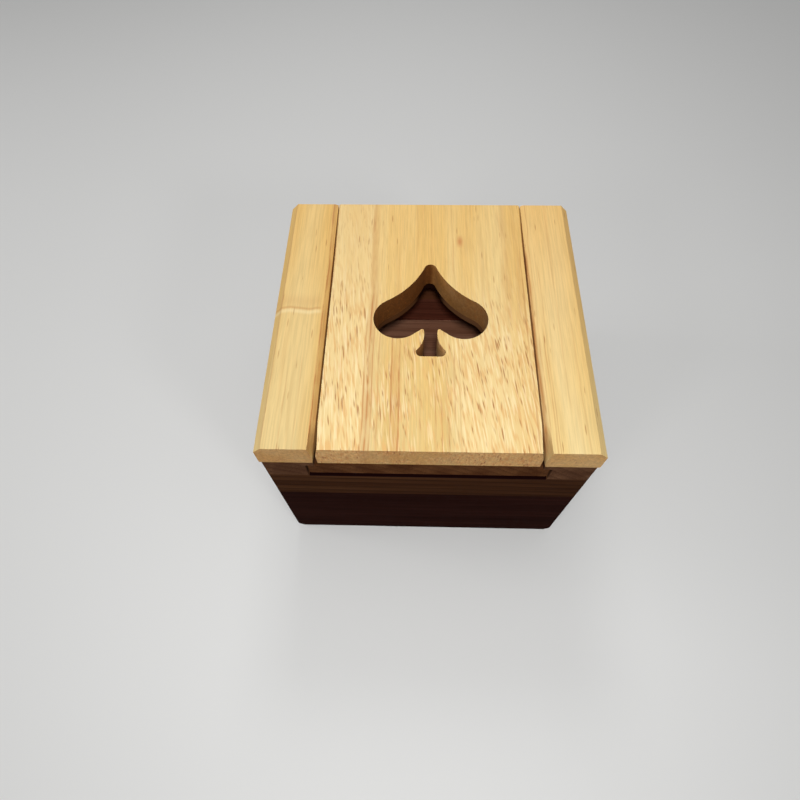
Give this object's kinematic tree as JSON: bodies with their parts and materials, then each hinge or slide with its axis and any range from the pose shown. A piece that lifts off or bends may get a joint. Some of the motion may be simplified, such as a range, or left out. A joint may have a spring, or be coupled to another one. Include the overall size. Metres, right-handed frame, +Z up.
{
  "type": "playing card box",
  "caption": "Layered wooden card box: a light sliding lid with a spade finger hole runs in a T-slot between dark rails, over a card compartment and a shallow rear drawer.",
  "frame": {"origin": "middle of the underside, on the surface that the box stands on", "axes": "+X to the right, +Y to the back, away from the side the lid slides out of, +Z up"},
  "size_m": [0.133, 0.129, 0.0996],
  "materials": {
    "light_wood": "satin oiled light hardwood",
    "dark_wood": "satin oiled dark hardwood",
    "drawer_wood": "bare light hardwood"
  },
  "bodies": {
    "box": {"cap_strip_left": "light_wood", "cap_strip_right": "light_wood", "slide_rail_left": "dark_wood", "slide_rail_right": "dark_wood", "rear_stop_bar": "dark_wood", "collar_front": "dark_wood", "collar_back": "dark_wood", "collar_left": "dark_wood", "collar_right": "dark_wood", "lid_runner_left": "dark_wood", "lid_runner_right": "dark_wood", "front_wall": "dark_wood", "back_wall": "dark_wood", "side_wall_left": "dark_wood", "side_wall_right": "dark_wood", "compartment_floor": "dark_wood", "card_guide_left": "dark_wood", "card_guide_right": "dark_wood", "base_board": "dark_wood"},
    "lid": {"lid_panel": "light_wood", "lid_tongue": "dark_wood"},
    "drawer": {"drawer_front": "dark_wood", "drawer_side_left": "drawer_wood", "drawer_side_right": "drawer_wood", "drawer_back": "drawer_wood", "drawer_bottom": "drawer_wood"}
  },
  "joints": [
    {"name": "lid_slide", "type": "slide", "parent": "box", "child": "lid", "axis": [0, -1, 0], "range_m": [0, 0.095]},
    {"name": "drawer_slide", "type": "slide", "parent": "box", "child": "drawer", "axis": [0, 1, 0], "range_m": [0, 0.085]}
  ]
}
